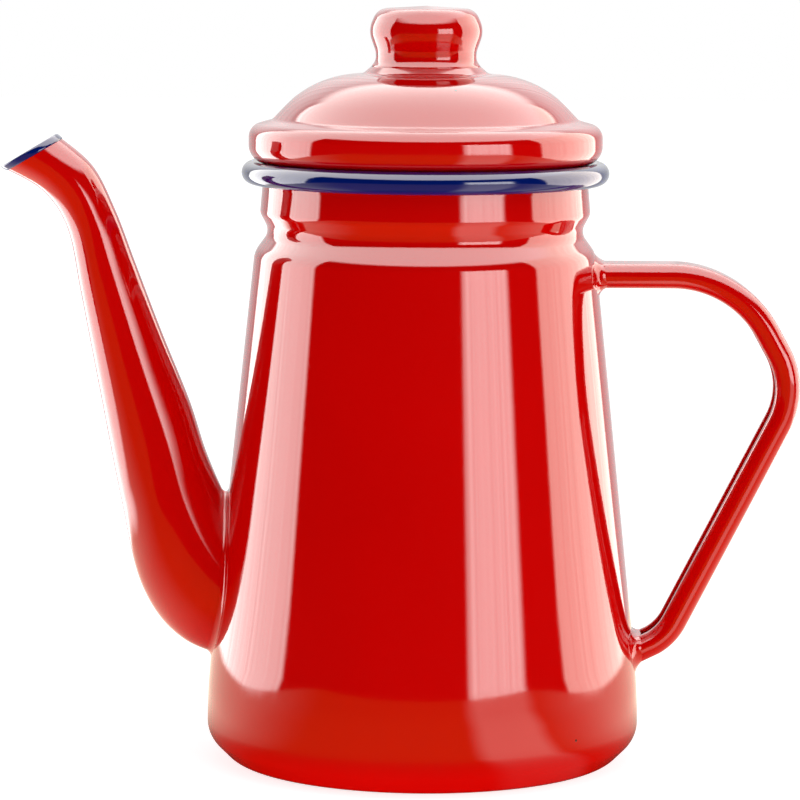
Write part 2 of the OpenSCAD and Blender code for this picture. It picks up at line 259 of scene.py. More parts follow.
# Node tree that turns a section round the pot's axis
def turningTree():
    tree = bpy.data.node_groups.new("turnedSheet", "GeometryNodeTree")
    given = addInputs(tree, [("Section", "Geometry"), ("Steps round", "Int"),
                             ("Outside", "Material"), ("Inside", "Material")])
    tree.interface.new_socket("Sheet", in_out="OUTPUT", socket_type="NodeSocketGeometry")
    points = addNode(tree, "GeometryNodeAttributeDomainSize", {0: given["Section"]})
    count = points.outputs["Point Count"]
    columns = mathNode(tree, "ADD", given["Steps round"], 1)
    grid = addNode(tree, "GeometryNodeMeshGrid",
                   {"Size X": 1, "Size Y": 1, "Vertices X": columns, "Vertices Y": count})
    across = pointPlace(tree)
    last = mathNode(tree, "SUBTRACT", count, 1)
    up = mathNode(tree, "ADD", across.outputs[1], 0.5)
    row = mathNode(tree, "ROUND", mathNode(tree, "MULTIPLY", up, last))
    angle = mathNode(tree, "MULTIPLY", mathNode(tree, "ADD", across.outputs[0], 0.5), 2 * math.pi)
    place = addNode(tree, "GeometryNodeSampleIndex", {
        "Geometry": given["Section"], "Value": tree.nodes.new("GeometryNodeInputPosition").outputs[0],
        "Index": row}, data_type="FLOAT_VECTOR", domain="POINT")
    coat = addNode(tree, "GeometryNodeInputNamedAttribute", {"Name": "coat"}, data_type="FLOAT")
    side = addNode(tree, "GeometryNodeSampleIndex", {
        "Geometry": given["Section"], "Value": coat.outputs[0], "Index": row},
        data_type="FLOAT", domain="POINT")
    parts = addNode(tree, "ShaderNodeSeparateXYZ", {0: place.outputs[0]})
    x = mathNode(tree, "MULTIPLY", parts.outputs[0], mathNode(tree, "COSINE", angle))
    y = mathNode(tree, "MULTIPLY", parts.outputs[0], mathNode(tree, "SINE", angle))
    turned = addNode(tree, "ShaderNodeCombineXYZ", {0: x, 1: y, 2: parts.outputs[2]})
    marked = addNode(tree, "GeometryNodeStoreNamedAttribute", {
        "Geometry": grid.outputs["Mesh"], "Name": "coat", "Value": side.outputs[0]},
        data_type="FLOAT", domain="POINT")
    bent = addNode(tree, "GeometryNodeSetPosition", {
        "Geometry": marked.outputs[0], "Position": turned.outputs[0]})
    joined = addNode(tree, "GeometryNodeMergeByDistance", {
        "Geometry": bent.outputs[0], "Distance": 1e-6})
    smooth = addNode(tree, "GeometryNodeSetShadeSmooth", {
        "Geometry": joined.outputs[0], "Shade Smooth": True})
    real = addNode(tree, "GeometryNodeRealizeInstances", {"Geometry": smooth.outputs[0]})
    outside = addNode(tree, "GeometryNodeSetMaterial", {
        "Geometry": real.outputs[0], "Material": given["Outside"]})
    within = mathNode(tree, "GREATER_THAN", coat.outputs[0], 0.99)
    inside = addNode(tree, "GeometryNodeSetMaterial", {
        "Geometry": outside.outputs[0], "Selection": within, "Material": given["Inside"]})
    tree.links.new(inside.outputs[0], tree.nodes.new("NodeGroupOutput").inputs[0])
    return tree


turnedSheet = turningTree()


# The object's modifier tree with these inputs, made a plain mesh
def bakeTree(piece, tree, values):
    modifier = piece.modifiers.new(tree.name, "NODES")
    modifier.node_group = tree
    for item in tree.interface.items_tree:
        if item.in_out == "INPUT" and item.name in values:
            modifier[item.identifier] = values[item.name]
    piece.update_tag()
    bpy.context.view_layer.update()
    graph = bpy.context.evaluated_depsgraph_get()
    mesh = bpy.data.meshes.new_from_object(piece.evaluated_get(graph), depsgraph=graph)
    piece.modifiers.remove(modifier)
    piece.data = mesh
    return piece


def faceOutward(piece):
    work = bmesh.new()
    work.from_mesh(piece.data)
    bmesh.ops.remove_doubles(work, verts=work.verts, dist=1e-7)
    bmesh.ops.recalc_face_normals(work, faces=work.faces)
    work.to_mesh(piece.data)
    work.free()
    return piece


def newPiece(name, mesh):
    piece = bpy.data.objects.new(name, mesh)
    scene.collection.objects.link(piece)
    return piece


# A closed section turned round the axis; points past insideFrom get the inside finish
def turnedPiece(name, line, insideFrom=None, outside=None, inside=None, steps=192):
    mesh = bpy.data.meshes.new(name)
    mesh.from_pydata([(p.x, 0, p.y) for p in line], [(i, i + 1) for i in range(len(line) - 1)], [])
    coat = mesh.attributes.new("coat", "FLOAT", "POINT")
    limit = len(line) if insideFrom is None else insideFrom
    coat.data.foreach_set("value", [float(i >= limit) for i in range(len(line))])
    outside = outside or redEnamel
    piece = newPiece(name, mesh)
    bakeTree(piece, turnedSheet, {"Steps round": steps, "Outside": outside, "Inside": inside or outside})
    return faceOutward(piece)


def finishPiece(piece, body, slot, *nodes):
    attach(piece, body)
    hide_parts(*nodes)
    print("made", piece.name, len(piece.data.polygons), "faces")
    return piece


# Body
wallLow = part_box("body_wall")[0]
rimLow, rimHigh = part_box("rim_roll")
pot = {
    "radius": 60 * mm,      # of the body just above the base
    "sheet": 1.0 * mm,
    "rollRadius": (rimHigh.z - rimLow.z) / 2,
    "neckIn": 5.7 * mm,     # from the edge of the rim in to the neck
    "neckHeight": 25 * mm,
    "shoulderOut": 2.1 * mm,
    "grooveDepth": 2.1 * mm,
    "neckSwell": 0.6 * mm,
    "footIn": 10 * mm,
    "footWidth": 5 * mm,
    "bottomRise": 2.5 * mm,
}
rollR = pot["rollRadius"]
rimTop, rimR = rimHigh.z, rimHigh.x
rollZ, rollX = rimTop - rollR, rimR - rollR
neckR = rimR - pot["neckIn"]
shoulderZ = rimTop - pot["neckHeight"]
grooveZ = shoulderZ + 5.7 * mm
swellZ = grooveZ + 5.1 * mm
seamZ = wallLow.z


def bodyOutline(s):
    r, foot = s["radius"], s["radius"] - s["footIn"]
    return roundedLine([
        (0, s["bottomRise"]),
        (foot - s["footWidth"] - 2 * mm, s["bottomRise"], 2 * mm),
        (foot - s["footWidth"], 0, 1.5 * mm),
        (foot + 2.9 * mm, 0, 6.5 * mm),
        (r + 0.1 * mm, 7.2 * mm, 8.5 * mm),
        (r - 0.1 * mm, seamZ, 148 * mm),
        (neckR + s["shoulderOut"], shoulderZ, 7 * mm),
        (neckR - s["grooveDepth"], grooveZ, 4 * mm),
        (neckR + s["neckSwell"], swellZ, 3 * mm),
        (neckR, rollZ - rollR - 1 * mm, 4 * mm),
        (neckR, rollZ - 0.9 * mm),
    ])


bodySkin = evenLine(bodyOutline(pot), 2.4 * mm)
wallLine = [p for p in bodySkin if p.y >= seamZ - 14 * mm and p.x > neckR]


def bodyRadius(z):
    return radiusAt(wallLine, z)


def bodySlope(z):           # outward normal of the wall in the plane of the axis
    step = 0.5 * mm
    fall = (bodyRadius(z + step) - bodyRadius(z - step)) / (2 * step)
    return Vector((1, -fall)).normalized()


def makeBody():
    inner = beside(bodySkin, pot["sheet"])
    inner[0].x = 0
    section = bodySkin + inner[::-1]
    return turnedPiece("potBody", section, len(bodySkin), redEnamel, whiteEnamel, 240)


# The field of holes stays inside the foot of the spout, which runs from low to high on the wall
strainer = {
    "hole": 4 * mm,
    "pitch": 7.5 * mm,
    "rows": 9,
    "columns": 7,
    "low": 29.0 * mm,
    "high": 76.8 * mm,
    "edge": 8 * mm,         # left plain at the top and bottom
    "wide": 9.5 * mm,       # to either side
    "drillDepth": 16 * mm,
}


# Round holes in rows through the wall behind the spout
def strainerTree(s):
    tree = bpy.data.node_groups.new("strainerHoles", "GeometryNodeTree")
    given = addInputs(tree, [("Wall", "Geometry"), ("Hole", "Float"), ("Pitch", "Float"),
                             ("Middle", "Vector"), ("Half width", "Float"), ("Half height", "Float"),
                             ("Depth", "Float"), ("Edge", "Material")])
    tree.interface.new_socket("Wall", in_out="OUTPUT", socket_type="NodeSocketGeometry")
    pitch = given["Pitch"]
    rise = mathNode(tree, "MULTIPLY", pitch, math.sin(math.radians(60)))
    rows, columns = s["rows"], s["columns"]
    grid = addNode(tree, "GeometryNodeMeshGrid", {
        "Size X": mathNode(tree, "MULTIPLY", pitch, columns - 1),
        "Size Y": mathNode(tree, "MULTIPLY", rise, rows - 1), "Vertices X": columns, "Vertices Y": rows})
    at = pointPlace(tree)
    row = mathNode(tree, "ROUND", mathNode(tree, "DIVIDE", at.outputs[1], rise))
    odd = mathNode(tree, "PINGPONG", row, 1)
    shift = mathNode(tree, "MULTIPLY", odd, mathNode(tree, "MULTIPLY", pitch, 0.5))
    y = mathNode(tree, "ADD", at.outputs[0], shift)
    moved = addNode(tree, "GeometryNodeSetPosition", {
        "Geometry": grid.outputs["Mesh"],
        "Position": addNode(tree, "ShaderNodeCombineXYZ", {1: y, 2: at.outputs[1]}).outputs[0]})
    now = pointPlace(tree)
    wide = mathNode(tree, "POWER", mathNode(tree, "DIVIDE", now.outputs[1], given["Half width"]), 2)
    high = mathNode(tree, "POWER", mathNode(tree, "DIVIDE", now.outputs[2], given["Half height"]), 2)
    outside = mathNode(tree, "GREATER_THAN", mathNode(tree, "ADD", wide, high), 1)
    kept = addNode(tree, "GeometryNodeDeleteGeometry", {"Geometry": moved.outputs[0], "Selection": outside},
                   domain="POINT")
    drill = addNode(tree, "GeometryNodeMeshCylinder", {
        "Vertices": 32, "Radius": mathNode(tree, "MULTIPLY", given["Hole"], 0.5), "Depth": given["Depth"]})
    drills = addNode(tree, "GeometryNodeInstanceOnPoints", {
        "Points": kept.outputs[0], "Instance": drill.outputs["Mesh"], "Rotation": (0, math.pi / 2, 0)})
    placed = addNode(tree, "GeometryNodeTransform", {
        "Geometry": drills.outputs[0], "Translation": given["Middle"]})
    real = addNode(tree, "GeometryNodeRealizeInstances", {"Geometry": placed.outputs[0]})
    edged = addNode(tree, "GeometryNodeSetMaterial", {
        "Geometry": real.outputs[0], "Material": given["Edge"]})
    cut = addNode(tree, "GeometryNodeMeshBoolean", {"Mesh 1": given["Wall"], "Mesh 2": edged.outputs[0]},
                  operation="DIFFERENCE", solver="EXACT")
    tree.links.new(cut.outputs[0], tree.nodes.new("NodeGroupOutput").inputs[0])
    return tree


def punchStrainer(piece, s):
    low, high = s["low"], s["high"]
    middle = Vector((-bodyRadius((low + high) / 2), 0, (low + high) / 2))
    bakeTree(piece, strainerTree(s), {
        "Hole": s["hole"], "Pitch": s["pitch"], "Middle": middle, "Half width": s["wide"],
        "Half height": (high - low) / 2 - s["edge"], "Depth": s["drillDepth"], "Edge": whiteEnamel})
    return piece


potBody = makeBody()
punchStrainer(potBody, strainer)
finishPiece(potBody, "pot", "red_enamel", "body_wall", "base_pan")


def makeRim():
    edge = pot["sheet"] - 0.15 * mm
    start, end = math.radians(-128), math.radians(158)
    arc = [Vector((rollX, rollZ)) + rollR * Vector((math.cos(a), math.sin(a)))
           for a in (start + (end - start) * k / 72 for k in range(73))]
    bore = neckR - edge
    tail = roundedLine([
        arc[-1], (bore, rollZ - 0.6 * mm, 1.5 * mm), (bore, rollZ - 2.2 * mm, 0.3 * mm),
        (neckR - 0.5 * mm, rollZ - 2.6 * mm), arc[0],
    ])
    return turnedPiece("rimRoll", arc + tail[1:], outside=blueEnamel, steps=240)


finishPiece(makeRim(), "pot", "blue_enamel", "rim_roll")

# Lid
domeLow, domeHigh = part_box("lid_dome")
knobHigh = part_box("lid_knob")[1]
collarLow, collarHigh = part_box("lid_collar")
lid = {
    "sheet": 1.0 * mm,
    "edgeHeight": 12 * mm,
    "curl": 5 * mm,
    "seatRadius": 14.2 * mm,
    "vent": 1.5 * mm,
}
lidR, lidZ, seatZ = domeHigh.x, domeLow.z, domeHigh.z
seatR = lid["seatRadius"]


def makeDome(s):
    edgeTop = lidZ + s["edgeHeight"]
    lipR = lidR - s["curl"] - 0.5 * mm
    skin = evenLine(roundedLine([
        (lipR, lidZ),
        (lidR, lidZ, s["curl"]),
        (lidR, edgeTop - 1.8 * mm, 4 * mm),
        (lidR - 6.5 * mm, edgeTop, 2.5 * mm),
        ((seatR + lidR) / 2 - 0.6 * mm, seatZ - 2.6 * mm, 29 * mm),
        (seatR + 3.2 * mm, seatZ - 2.0 * mm, 3 * mm),
        (seatR + 0.9 * mm, seatZ, 0.3 * mm),
        (s["vent"], seatZ),
    ]), 1.6 * mm)
    inner = beside(skin, s["sheet"])
    section = skin + inner[::-1] + [skin[0]]
    return turnedPiece("lidDome", section, len(skin), redEnamel, whiteEnamel, 240)


def makeCollar(s):
    outer, low, sheet = collarHigh.x, collarLow.z, s["sheet"]
    wall = neckR - pot["sheet"] - 0.8 * mm
    section = roundedLine([
        (outer, lidZ), (wall, lidZ, 0.4 * mm), (wall, low, 0.45 * mm), (wall - sheet, low, 0.45 * mm),
        (wall - sheet, lidZ + sheet), (outer, lidZ + sheet),
    ], closed=True)
    section = evenLine(section + [section[0]], 1.6 * mm)
    return turnedPiece("lidCollar", section, outside=whiteEnamel)


def makeKnob(s):
    high, radius = knobHigh.z - seatZ, knobHigh.x
    skin = evenLine(roundedLine([
        (seatR + 0.9 * mm, seatZ),
        (seatR - 0.4 * mm, seatZ + 0.11 * high, 3 * mm),
        (seatR - 0.3 * mm, seatZ + 0.25 * high, 5 * mm),
        (radius + 0.35 * mm, seatZ + 0.60 * high, 7 * mm),
        (radius - 2.2 * mm, seatZ + 0.95 * high, 4.2 * mm),
        (0, seatZ + high),
    ]), 1.2 * mm)
    inner = beside(skin, s["sheet"])
    inner[-1].x = 0
    section = skin + inner[::-1] + [skin[0]]
    return turnedPiece("lidKnob", section, outside=redEnamel)


finishPiece(makeDome(lid), "lid", "red_enamel", "lid_dome")
finishPiece(makeCollar(lid), "lid", "white_enamel", "lid_collar")
finishPiece(makeKnob(lid), "lid", "red_enamel", "lid_knob")


# A closed tube from rings of points
def tubeMesh(name, rings, closedEnds=False):
    mesh = bpy.data.meshes.new(name)
    count, total = len(rings[0]), len(rings)
    points = [p for ring in rings for p in ring]
    faces = []
    for r in range(total if closedEnds else total - 1):
        for i in range(count):
            a, b = r * count, (r + 1) % total * count
            j = (i + 1) % count
            faces.append((a + i, a + j, b + j, b + i))
    if not closedEnds:
        faces += [tuple(range(count))[::-1], tuple((total - 1) * count + i for i in range(count))]
    mesh.from_pydata(points, [], faces)
    mesh.shade_smooth()
    return mesh


def keepCreases(piece, degrees):
    work = bmesh.new()
    work.from_mesh(piece.data)
    for edge in work.edges:
        if len(edge.link_faces) == 2 and edge.calc_face_angle(0) > math.radians(degrees):
            edge.smooth = False
    work.to_mesh(piece.data)
    work.free()
    return piece


# Spout
spout = {
    "reach": 57 * mm,
    "overRim": 7 * mm,
    "rootWidth": 31 * mm,
    "mouthWidth": 17 * mm,
    "sheet": 1.0 * mm,
    "lip": 2.2 * mm,
    "lipProud": 0.3 * mm,
    "weld": 1.7 * mm,
    "crotchWeld": 4.5 * mm,     # wider above the spout, where it leaves the wall at a sharp angle
    # front out, front up, back out, back up, share of the root's width
    "stations": [
        (-0.22, 0.15, -0.30, 0.31, 1.00),
        (0.12, 0.19, -0.12, 0.40, 1.00),
        (0.32, 0.275, 0, 0.485, 0.84),
        (0.425, 0.42, 0.09, 0.575, 0.50),
        (0.525, 0.59, 0.225, 0.685, 0.22),
        (0.615, 0.745, 0.352, 0.795, 0.02),
        (0.68, 0.85, 0.45, 0.88, -0.08),
        (0.80, 0.91, 0.56, 0.95, -0.06),
        (1.00, 0.948, 0.735, 1.00, 0.00),
    ],
}
mouthZ = rimTop + spout["overRim"]
lastStation = len(spout["stations"]) - 1


def stationAt(i):
    rows = [Vector(row) for row in spout["stations"]]
    if i < 0:
        return 2 * rows[0] - rows[1]
    if i > lastStation:
        return 2 * rows[-1] - rows[-2]
    return rows[i]


def spoutSection(u):        # front edge, back edge and half width at place u
    i = min(int(u), lastStation - 1)
    t = u - i
    a, b, c, d = (stationAt(i + k) for k in (-1, 0, 1, 2))
    s = b + 0.5 * t * (c - a + t * (2 * a - 5 * b + 4 * c - d + t * (3 * (b - c) + d - a)))
    front = Vector((-pot["radius"] - s[0] * spout["reach"], s[1] * mouthZ))
    back = Vector((-pot["radius"] - s[2] * spout["reach"], s[3] * mouthZ))
    mouth, root = spout["mouthWidth"] / 2, spout["rootWidth"] / 2
    return front, back, mouth + s[4] * (root - mouth)


def spoutSkin(u, angle, grow=0):
    front, back, half = spoutSection(u)
    depth = (front - back) / 2
    depth = depth * (1 + grow / depth.length)
    p = (front + back) / 2 + depth * math.cos(angle)
    return Vector((p.x, (half + grow) * math.sin(angle), p.y))


# Place u where the skin leaves the body at this angle
def spoutRoot(angle, grow=0):
    low, high = 0.0, 3.0
    for _ in range(30):
        u = (low + high) / 2
        p = spoutSkin(u, angle, grow)
        if math.hypot(p.x, p.y) > bodyRadius(p.z):
            high = u
        else:
            low = u
    return high


lastBacks = [spoutSection(lastStation - k)[1] for k in (0, 1)]
lipU = lastStation - spout["lip"] / (lastBacks[0] - lastBacks[1]).length
spoutAngles = [2 * math.pi * k / 96 for k in range(96)]


def makeSpout(s):
    rows = 110
    rings = []
    for grow, order in ((0, range(rows + 1)), (-s["sheet"], range(rows, -1, -1))):
        roots = [spoutRoot(a, grow) - 0.01 for a in spoutAngles]
        for r in order:
            rings.append([spoutSkin(u + (lipU - u) * r / rows, a, grow)
                          for u, a in zip(roots, spoutAngles)])
    piece = newPiece("spoutTube", tubeMesh("spoutTube", rings, closedEnds=True))
    faceOutward(piece)
    piece.data.materials.append(redEnamel)
    piece.data.materials.append(whiteEnamel)
    firstInner = (rows + 1) * len(spoutAngles)
    for face in piece.data.polygons:
        if min(face.vertices) >= firstInner:
            face.material_index = 1
    return keepCreases(piece, 50)


def makeLip(s):
    steps, power = 28, 0.55
    middleU, halfU = (lipU + lastStation) / 2, (lastStation - lipU) / 2
    middleG, halfG = (s["lipProud"] - s["sheet"]) / 2, (s["lipProud"] + s["sheet"]) / 2
    rings = []
    for k in range(steps):
        c, n = math.cos(2 * math.pi * k / steps), math.sin(2 * math.pi * k / steps)
        u = middleU + halfU * math.copysign(abs(c) ** power, c)
        g = middleG + halfG * math.copysign(abs(n) ** power, n)
        rings.append([spoutSkin(u, a, g) for a in spoutAngles])
    piece = newPiece("spoutLip", tubeMesh("spoutLip", rings, closedEnds=True))
    piece.data.materials.append(blueEnamel)
    return faceOutward(piece)


finishPiece(makeSpout(spout), "pot", "red_enamel", "spout_left_half", "spout_right_half")
finishPiece(makeLip(spout), "pot", "blue_enamel", "spout_lip")


def onBody(p):              # the point moved straight out or in to the wall
    radius = bodyRadius(p.z)
    around = math.hypot(p.x, p.y)
    return Vector((p.x * radius / around, p.y * radius / around, p.z))


def wallNormal(p):
    slope, around = bodySlope(p.z), math.hypot(p.x, p.y)
    return Vector((p.x / around * slope.x, p.y / around * slope.x, slope.y))


# Bead of enamel in the corner between the wall and what stands on it. Each root is the point
# on the wall, the direction along the tube, the direction away from it and the bead's width.
def weldBead(name, roots, lift, uneven=0.0):
    steps, rings = 12, []
    for n, (root, along, away, width) in enumerate(roots):
        turn = 2 * math.pi * n / len(roots)
        w = width * (1 + uneven * (math.sin(3 * turn + 1) + 0.6 * math.sin(7 * turn)) / 2)
        normal = wallNormal(root)
        flat = (away - normal * away.dot(normal)).normalized()
        sink = 0.06 * mm
        high = root + along * w - away * sink
        far = onBody(root + flat * w) - normal * sink
        bend = root + (along + flat) * lift * w
        ring = []
        for k in range(steps + 1):
            t = k / steps
            ring.append((1 - t) ** 2 * high + 2 * t * (1 - t) * bend + t * t * far)
        ring.append(root - normal * 0.3 * mm - away * 0.3 * mm)
        rings.append(ring)
    piece = newPiece(name, tubeMesh(name, rings, closedEnds=True))
    piece.data.materials.append(redEnamel)
    return keepCreases(faceOutward(piece), 60)


def spoutRoots(s):
    roots = []
    for a in spoutAngles:
        u = spoutRoot(a)
        here = spoutSkin(u, a)
        along = (spoutSkin(u + 0.05, a) - here).normalized()
        away = spoutSkin(u, a, 1 * mm) - here
        away = (away - along * away.dot(along)).normalized()
        crotch = max(0.0, -math.cos(a)) ** 8
        roots.append((here, along, away, s["weld"] + crotch * (s["crotchWeld"] - s["weld"])))
    return roots


finishPiece(weldBead("spoutWeld", spoutRoots(spout), 0.1), "pot", "red_enamel", "spout_root_weld")

# Handle
strapLow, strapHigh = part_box("handle_strap")
handle = {
    "drop": 6.0 * mm,       # from the shoulder down to the middle of the upper leg
    "reach": 42 * mm,       # out from the foot of the pot
    "footZ": 30.4 * mm,
    "width": strapHigh.y - strapLow.y,
    "depth": 6.8 * mm,
    "sheet": 1.1 * mm,
    "slot": 7 * mm,
    "round": 3.3 * mm,
    "weld": 2.6 * mm,
}
handleX = pot["radius"] + handle["reach"] - handle["depth"] / 2
topZ, footZ, potR = shoulderZ - handle["drop"], handle["footZ"], pot["radius"]
handleCorners = [
    (neckR, topZ),
    (handleX - 12.5 * mm, topZ, 30 * mm),
    (handleX + 4.6 * mm, topZ - 31 * mm, 21 * mm),
    (potR + 7.6 * mm, footZ + 4.4 * mm, 15 * mm),
    (potR - 8 * mm, footZ - 3 * mm),
]


def onLine(line, i, q):     # a point of the flat section carried to point i of the line
    before = (line[i] - line[i - 1]).normalized() if i > 0 else (line[1] - line[0]).normalized()
    after = (line[i + 1] - line[i]).normalized() if i < len(line) - 1 else before
    h = (before + after).normalized()
    return Vector((line[i].x - q.x * h.y, q.y, line[i].y + q.x * h.x)), Vector((h.x, 0, h.y))


def slideToBody(p, direction, depth):
    low, high = 0.0, 60 * mm
    for _ in range(30):
        t = (low + high) / 2
        q = p + direction * t
        if math.hypot(q.x, q.y) > bodyRadius(q.z) - depth:
            high = t
        else:
            low = t
    return p + direction * high


def strapSection(s):        # closed outline of the bent strip: x away from the hand, y across the pot
    x, y, t, r, gap = s["depth"] / 2, s["width"] / 2, s["sheet"], s["round"], s["slot"] / 2
    edge = 0.45 * mm
    return roundedLine([
        (-x, gap, edge), (-x, y, r), (x, y, r), (x, -y, r), (-x, -y, r), (-x, -gap, edge),
        (-x + t, -gap, edge), (-x + t, -y + t, r - t), (x - t, -y + t, r - t), (x - t, y - t, r - t),
        (-x + t, y - t, r - t), (-x + t, gap, edge),
    ], closed=True, step=9)


def makeHandle(s):
    line = evenLine(roundedLine(handleCorners, step=2.5), 2.5 * mm)
    section = strapSection(s)
    keep = [i for i in range(len(line)) if line[i].x > bodyRadius(line[i].y) + 5 * mm]
    rings = []
    for i in [0, *keep, len(line) - 1]:
        ring = []
        for q in section:
            p, h = onLine(line, i, q)
            if i == 0:
                p = slideToBody(p, h, 0.4 * mm)
            if i == len(line) - 1:
                p = slideToBody(p, -h, 0.4 * mm)
            ring.append(p)
        rings.append(ring)
    piece = newPiece("handleStrap", tubeMesh("handleStrap", rings))
    piece.data.materials.append(redEnamel)
    return keepCreases(faceOutward(piece), 60)


def handleRoots(first):
    x, y, r = handle["depth"] / 2, handle["width"] / 2, handle["round"]
    outline = roundedLine([(-x, y, r), (x, y, r), (x, -y, r), (-x, -y, r)], closed=True, step=7)
    outline = evenLine(outline + [outline[0]], 0.8 * mm)[:-1]
    line = roundedLine(handleCorners)
    i = 0 if first else len(line) - 1
    roots = []
    for n, q in enumerate(outline):
        p, h = onLine(line, i, q)
        h = h if first else -h
        side = (outline[(n + 1) % len(outline)] - outline[n - 1]).normalized()
        out = Vector((-side.y, side.x))
        if out.dot(q) < 0:
            out = -out
        away = onLine(line, i, q + out * mm)[0] - p
        roots.append((slideToBody(p, h, 0), h, away.normalized(), handle["weld"]))
    return roots


finishPiece(makeHandle(handle), "pot", "red_enamel", "handle_strap")
finishPiece(weldBead("handleTopWeld", handleRoots(True), 0.25, 0.2),
            "pot", "red_enamel", "handle_top_weld")
finishPiece(weldBead("handleFootWeld", handleRoots(False), 0.25, 0.2),
            "pot", "red_enamel", "handle_foot_weld")


# What the enamel mirrors, by direction round the pot: degrees from the camera's side, positive
# towards the handle; low is the brightness at the horizon and high the one well above it.
mirrored = {
    "leftWindow": {"start": -143, "end": -79, "soft": 1.5, "low": 6.5, "high": 6.5,
                   "tint": (1, 0.98, 0.95), "top": 2.0},
    "rightWindow": {"start": 80, "end": 143, "soft": 1.5, "low": 5.5, "high": 6.0,
                    "tint": (1, 0.90, 0.80), "top": 2.0},
    "strip": {"start": 25, "end": 56, "soft": 2.2, "low": 7.0, "high": 9.0,
              "tint": (1, 0.99, 0.96), "top": 0.24},
    "backWall": {"start": 143, "end": 217, "soft": 6, "low": 0.9, "high": 2.2,
                 "tint": (1, 1, 1), "top": 2.0},
}
studio = {
    "ambient": 0.15,        # light that reaches dull surfaces from all round
    "fromStrip": 0.78,      # more of it from the strip's side
    "stripSide": (0.78, -0.55, 0.3),
    "fromAbove": 0.62,
    "backdrop": 1.0,
    "darkFront": (0.003, 0.003, 0.003, 1),      # unlit camera side
    "ceiling": (6.4, 6.1, 5.9, 1),              # brightness of the ceiling light in reflections
    "ceilingStart": 0.55,   # height of its front edge, as the sine of its elevation
    "ceilingFull": 0.68,
    "tableRadius": 2.0,     # beyond it the enamel mirrors the walls again
    "tableFront": (0.40, 0.20, 0.02, 1),    # the near table as the enamel mirrors it
    "tableSide": (1.7, 1.45, 1.15, 1),
    "tableStrip": (2.1, 1.75, 1.45, 1),
    "tableGlow": 0.80,      # of the table as the camera sees it
    "tableBounce": 1.0,     # of the table as dull surfaces see it
    "sideStart": 50,        # degrees round from the front, where the table starts to brighten
    "sideFull": 105,
    "stripAt": 40.0,        # degrees, the middle of the strip's own patch on the table
    "stripInner": 11,
    "stripOuter": 21,
    "sideShort": 5.5,       # how much nearer the table ends at the sides
    "shadeInner": 0.045,    # the pot's own shade on the table, from here to shadeOuter
    "shadeOuter": 0.13,
    "duskStart": 0.15,
    "duskEnd": 0.6,
    "duskLeft": 0.85,       # share of the light left past duskEnd
    "floorSize": 8.0,
}


def softStep(tree, value, start, end):
    return addNode(tree, "ShaderNodeMapRange", {"Value": value, "From Min": start, "From Max": end},
                   interpolation_type="SMOOTHSTEP").outputs[0]


def azimuthOf(tree, x, y):
    forward = mathNode(tree, "MULTIPLY", y, -1.0)
    return mathNode(tree, "MULTIPLY", mathNode(tree, "ARCTAN2", x, forward), 180 / math.pi)


# Brightness of the mirrored room in a direction
def roomGroup(s):
    group = bpy.data.node_groups.new("mirroredRoom", "ShaderNodeTree")
    given = addInputs(group, [("Direction", "Vector")])
    group.interface.new_socket("Light", in_out="OUTPUT", socket_type="NodeSocketColor")
    unit = addNode(group, "ShaderNodeVectorMath", {0: given["Direction"]}, operation="NORMALIZE")
    x, y, z = addNode(group, "ShaderNodeSeparateXYZ", {0: unit.outputs[0]}).outputs
    azimuth = azimuthOf(group, x, y)
    rise = softStep(group, z, 0.0, 0.5)
    # folds of the diffusing cloth, as uneven upright streaks
    folds = addNode(group, "ShaderNodeTexNoise", {"W": mathNode(group, "MULTIPLY", azimuth, 0.11),
                                                  "Detail": 2}, noise_dimensions="1D")
    uneven = addNode(group, "ShaderNodeMapRange", {
        "Value": folds.outputs[0], "From Min": 0.3, "From Max": 0.7, "To Min": 0.84, "To Max": 1.1})
    total = s["darkFront"][:3]
    for wall in mirrored.values():
        middle, half = (wall["start"] + wall["end"]) / 2, (wall["end"] - wall["start"]) / 2
        # distance round the circle from the middle of this wall
        apart = mathNode(group, "PINGPONG", mathNode(group, "SUBTRACT", azimuth, middle), 180.0)
        outside = softStep(group, apart, half - wall["soft"], half + wall["soft"])
        over = softStep(group, z, wall["top"] - 0.05, wall["top"] + 0.05)
        inside = mathNode(group, "MULTIPLY", mathNode(group, "SUBTRACT", 1.0, outside),
                          mathNode(group, "SUBTRACT", 1.0, over))
        bright = addNode(group, "ShaderNodeMapRange", {"Value": rise, "To Min": wall["low"],
                                                       "To Max": wall["high"]}).outputs[0]
        strength = mathNode(group, "MULTIPLY", mathNode(group, "MULTIPLY", inside, bright),
                            uneven.outputs[0])
        shine = addNode(group, "ShaderNodeVectorMath", {0: wall["tint"], "Scale": strength},
                        operation="SCALE")
        total = addNode(group, "ShaderNodeVectorMath", {0: shine.outputs[0], 1: total},
                        operation="ADD").outputs[0]
    above = softStep(group, z, s["ceilingStart"], s["ceilingFull"])
    lit = addNode(group, "ShaderNodeMix", {0: above, 6: total, 7: s["ceiling"]},
                  data_type="RGBA").outputs[2]
    group.links.new(lit, group.nodes.new("NodeGroupOutput").inputs[0])
    return group


mirroredRoom = roomGroup(studio)


